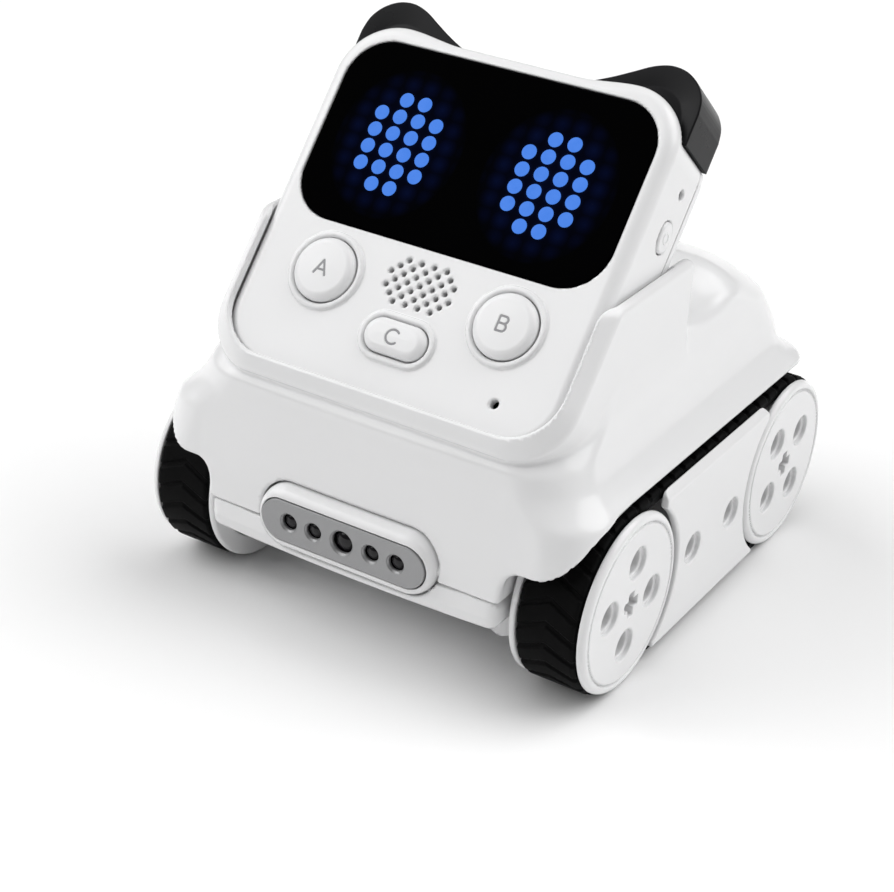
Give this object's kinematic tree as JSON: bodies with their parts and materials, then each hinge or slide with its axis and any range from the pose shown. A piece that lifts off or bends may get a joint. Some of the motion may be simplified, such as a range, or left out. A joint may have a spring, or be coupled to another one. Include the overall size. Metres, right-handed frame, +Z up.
{
  "type": "educational coding robot",
  "caption": "Small tracked teaching robot: a tilted screen-and-keys controller lifts out of a moulded base with belt-driven wheels and a turning sensor pod in the nose.",
  "frame": {"origin": "on the ground, under the middle of the bounding box", "axes": "+Z up; the robot faces -Y, so the display looks forward and up; +X is on the viewer's right when the robot is seen from the front"},
  "size_m": [0.0938, 0.1032, 0.1021],
  "materials": {
    "gloss_white_shell": "smooth glossy white moulding",
    "satin_white_key": "satin white",
    "black_lens": "polished black",
    "grey_faceplate": "satin silver grey",
    "black_soft": "matt black",
    "dark_plastic": "matt",
    "board": "green solder mask",
    "cell_wrap": "shrink film",
    "bright_metal": "machined",
    "natural_nylon": "natural nylon"
  },
  "bodies": {
    "chassis": {"body_shell": "gloss_white_shell", "chassis_tray": "gloss_white_shell", "dock_socket": "dark_plastic", "drive_board": "board", "side_plate_left": "gloss_white_shell", "side_plate_right": "gloss_white_shell", "track_left": "black_soft", "track_right": "black_soft", "motor_left": "bright_metal", "motor_right": "bright_metal", "gearbox_left": "natural_nylon", "gearbox_right": "natural_nylon", "base_screw_1": "bright_metal", "base_screw_2": "bright_metal", "base_screw_3": "bright_metal", "base_screw_4": "bright_metal"},
    "head": {"head_front_shell": "gloss_white_shell", "head_rear_shell": "gloss_white_shell", "display_window": "black_lens", "led_matrix_board": "board", "control_board": "board", "speaker": "dark_plastic", "battery": "cell_wrap", "switch_a": "dark_plastic", "switch_b": "dark_plastic", "switch_c": "dark_plastic", "switch_power": "dark_plastic", "dial_potentiometer": "dark_plastic", "usb_port": "bright_metal", "infrared_window": "black_lens", "dock_plug": "dark_plastic", "ear_left": "black_soft", "ear_right": "black_soft", "head_screw_1": "bright_metal", "head_screw_2": "bright_metal", "head_screw_3": "bright_metal", "head_screw_4": "bright_metal"},
    "key_a": {"button_a": "satin_white_key"},
    "key_b": {"button_b": "satin_white_key"},
    "key_c": {"button_c": "satin_white_key"},
    "power_key": {"power_button": "satin_white_key"},
    "dial": {"side_dial": "satin_white_key"},
    "pod": {"sensor_pod": "gloss_white_shell", "sensor_faceplate": "grey_faceplate", "sensor_lens_bar": "black_lens", "sensor_board": "board"},
    "rear_drive_right": {"wheel_rear_right": "gloss_white_shell", "drive_axle_right": "bright_metal", "output_gear_right": "natural_nylon"},
    "front_idler_right": {"wheel_front_right": "gloss_white_shell", "idler_axle_right": "bright_metal"},
    "compound_right": {"compound_gear_right": "natural_nylon"},
    "pinion_right": {"motor_pinion_right": "bright_metal"},
    "rear_drive_left": {"wheel_rear_left": "gloss_white_shell", "drive_axle_left": "bright_metal", "output_gear_left": "natural_nylon"},
    "front_idler_left": {"wheel_front_left": "gloss_white_shell", "idler_axle_left": "bright_metal"},
    "compound_left": {"compound_gear_left": "natural_nylon"},
    "pinion_left": {"motor_pinion_left": "bright_metal"}
  },
  "joints": [
    {"name": "head_lift", "type": "slide", "parent": "chassis", "child": "head", "axis": [0, 0.6428, 0.766], "range_m": [0, 0.045]},
    {"name": "key_a_press", "type": "slide", "parent": "head", "child": "key_a", "axis": [0, 0.766, -0.6428], "range_m": [0, 0.001]},
    {"name": "key_b_press", "type": "slide", "parent": "head", "child": "key_b", "axis": [0, 0.766, -0.6428], "range_m": [0, 0.001]},
    {"name": "key_c_press", "type": "slide", "parent": "head", "child": "key_c", "axis": [0, 0.766, -0.6428], "range_m": [0, 0.001]},
    {"name": "power_press", "type": "slide", "parent": "head", "child": "power_key", "axis": [-1, 0, 0], "range_m": [0, 0.0006]},
    {"name": "dial_turn", "type": "hinge", "parent": "head", "child": "dial", "pos_m": [-0.0282, -0.00309, 0.08002], "axis": [0, -0.766, 0.6428], "range_deg": [-135, 135]},
    {"name": "pod_tilt", "type": "hinge", "parent": "chassis", "child": "pod", "pos_m": [0, -0.04835, 0.0233], "axis": [1, 0, 0], "range_deg": [0, 90]},
    {"name": "rear_wheel_right", "type": "hinge", "parent": "chassis", "child": "rear_drive_right", "pos_m": [0.04, 0.03415, 0.0175], "axis": [1, 0, 0], "continuous": true},
    {"name": "front_wheel_right", "type": "hinge", "parent": "chassis", "child": "front_idler_right", "pos_m": [0.04, -0.02985, 0.0175], "axis": [1, 0, 0], "continuous": true},
    {"name": "compound_right_spin", "type": "hinge", "parent": "chassis", "child": "compound_right", "pos_m": [0.0236, 0.02395, 0.0175], "axis": [1, 0, 0], "continuous": true},
    {"name": "pinion_right_spin", "type": "hinge", "parent": "chassis", "child": "pinion_right", "pos_m": [0.0218, 0.01375, 0.0175], "axis": [1, 0, 0], "continuous": true},
    {"name": "rear_wheel_left", "type": "hinge", "parent": "chassis", "child": "rear_drive_left", "pos_m": [-0.04, 0.03415, 0.0175], "axis": [1, 0, 0], "continuous": true},
    {"name": "front_wheel_left", "type": "hinge", "parent": "chassis", "child": "front_idler_left", "pos_m": [-0.04, -0.02985, 0.0175], "axis": [1, 0, 0], "continuous": true},
    {"name": "compound_left_spin", "type": "hinge", "parent": "chassis", "child": "compound_left", "pos_m": [-0.0236, 0.02395, 0.0175], "axis": [1, 0, 0], "continuous": true},
    {"name": "pinion_left_spin", "type": "hinge", "parent": "chassis", "child": "pinion_left", "pos_m": [-0.0218, 0.01375, 0.0175], "axis": [1, 0, 0], "continuous": true}
  ],
  "couplings": [
    {"joint": "front_wheel_right", "follows": "rear_wheel_right", "ratio": 1},
    {"joint": "compound_right_spin", "follows": "rear_wheel_right", "ratio": -2},
    {"joint": "pinion_right_spin", "follows": "rear_wheel_right", "ratio": 4},
    {"joint": "front_wheel_left", "follows": "rear_wheel_left", "ratio": 1},
    {"joint": "compound_left_spin", "follows": "rear_wheel_left", "ratio": -2},
    {"joint": "pinion_left_spin", "follows": "rear_wheel_left", "ratio": 4}
  ]
}
